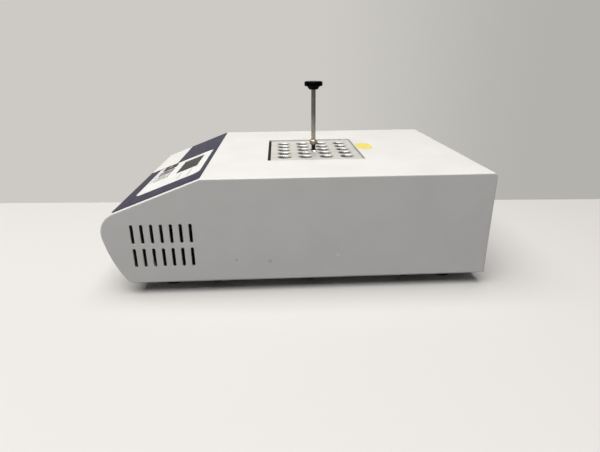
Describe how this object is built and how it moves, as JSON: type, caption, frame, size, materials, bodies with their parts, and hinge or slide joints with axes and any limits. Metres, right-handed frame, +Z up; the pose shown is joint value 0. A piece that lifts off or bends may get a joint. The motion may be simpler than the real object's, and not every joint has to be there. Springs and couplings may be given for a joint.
{
  "type": "dry block heater",
  "caption": "Low bench heater with a sloped control panel; a drilled metal block for micro tubes sits in a heated well in its top and lifts out by a screw-in rod with a knob.",
  "frame": {"origin": "on the table under the middle of the object's box", "axes": "+X to the right of a user who faces the panel, -Y towards that user, +Z up"},
  "size_m": [0.205, 0.2944, 0.1493],
  "materials": {
    "powder_coat": "light grey powder coat",
    "base_steel": "plated sheet steel",
    "foot_rubber": "moulded rubber",
    "zinc_screw": "zinc plated",
    "black_screw": "black oxide",
    "overlay_print": "printed polycarbonate",
    "smoked_window": "smoked acrylic",
    "black_plastic": "moulded",
    "key_plastic": "printed film over a moulded key",
    "circuit_board": "solder mask",
    "connector": "moulded nylon",
    "brass": "turned",
    "block_aluminium": "machined",
    "tray_aluminium": "cast and machined",
    "heater_silicone": "silicone rubber",
    "insulation": "ceramic fibre",
    "gasket_silicone": "silicone rubber",
    "bright_steel": "ground",
    "knob_plastic": "moulded phenolic",
    "terminal_plastic": "moulded",
    "lamination": "varnished lamination",
    "winding": "taped winding",
    "sink_black": "black anodised",
    "fuse_glass": "glass with plated caps",
    "mains_insulation": "PVC",
    "earth_insulation": "PVC",
    "pale_insulation": "silicone",
    "ribbon": "PVC"
  },
  "bodies": {
    "chassis": {"casing": "powder_coat", "base_plate": "base_steel", "foot_front_left": "foot_rubber", "foot_front_right": "foot_rubber", "foot_rear_left": "foot_rubber", "foot_rear_right": "foot_rubber", "foot_screws": "zinc_screw", "casing_screws": "black_screw", "panel_overlay": "overlay_print", "display_window": "smoked_window", "display_module": "black_plastic", "control_board": "circuit_board", "key_switches": "black_plastic", "board_headers": "connector", "board_standoffs": "brass", "board_screws": "zinc_screw", "heater_tray": "tray_aluminium", "heater_mat": "heater_silicone", "clamp_plate": "tray_aluminium", "clamp_screws": "zinc_screw", "insulation_jacket": "insulation", "insulation_base": "insulation", "well_gasket": "gasket_silicone", "tray_pillars": "brass", "tray_screws": "zinc_screw", "temperature_sensor": "bright_steel", "thermal_cutout": "black_plastic", "power_board": "circuit_board", "power_board_standoffs": "brass", "power_board_screws": "zinc_screw", "terminal_block": "terminal_plastic", "transformer_core": "lamination", "transformer_coil": "winding", "heat_sink": "sink_black", "triac": "black_plastic", "inlet_housing": "black_plastic", "inlet_pins": "brass", "inlet_screws": "zinc_screw", "switch_housing": "black_plastic", "switch_tabs": "brass", "mains_leads": "mains_insulation", "earth_lead": "earth_insulation", "heater_leads": "pale_insulation", "sensor_lead": "pale_insulation", "ribbon_cable": "ribbon"},
    "block": {"heating_block": "block_aluminium"},
    "lifter_nut": {"lifter_nut": "zinc_screw"},
    "lifter": {"lifter_rod": "bright_steel", "lifter_knob": "knob_plastic"},
    "key_down": {"key_down": "key_plastic"},
    "key_up": {"key_up": "key_plastic"},
    "key_set": {"key_set": "key_plastic"},
    "rocker": {"power_rocker": "black_plastic"},
    "fuse_drawer": {"fuse_drawer": "black_plastic", "fuse": "fuse_glass"}
  },
  "joints": [
    {"name": "block_lift", "type": "slide", "parent": "chassis", "child": "block", "axis": [0, 0, 1], "range_m": [0, 0.056]},
    {"name": "lifter_rise", "type": "slide", "parent": "block", "child": "lifter_nut", "axis": [0, 0, 1], "range_m": [-0.0045, 0.01]},
    {"name": "lifter_turn", "type": "hinge", "parent": "lifter_nut", "child": "lifter", "pos_m": [0, 0.01605, 0.0892], "axis": [0, 0, 1], "range_deg": [-2314.2, 5142.8]},
    {"name": "key_down_press", "type": "slide", "parent": "chassis", "child": "key_down", "axis": [0, 0.3535, -0.9354], "range_m": [0, 0.0005], "stiffness_N_per_m": 600},
    {"name": "key_up_press", "type": "slide", "parent": "chassis", "child": "key_up", "axis": [0, 0.3535, -0.9354], "range_m": [0, 0.0005], "stiffness_N_per_m": 600},
    {"name": "key_set_press", "type": "slide", "parent": "chassis", "child": "key_set", "axis": [0, 0.3535, -0.9354], "range_m": [0, 0.0005], "stiffness_N_per_m": 600},
    {"name": "power_rock", "type": "hinge", "parent": "chassis", "child": "rocker", "pos_m": [-0.018, 0.1413, 0.044], "axis": [1, 0, 0], "range_deg": [0, 18]},
    {"name": "fuse_drawer_slide", "type": "slide", "parent": "chassis", "child": "fuse_drawer", "axis": [0, 1, 0], "range_m": [0, 0.018]}
  ],
  "couplings": [
    {"joint": "lifter_turn", "follows": "lifter_rise", "rad_per_m": 8976}
  ]
}
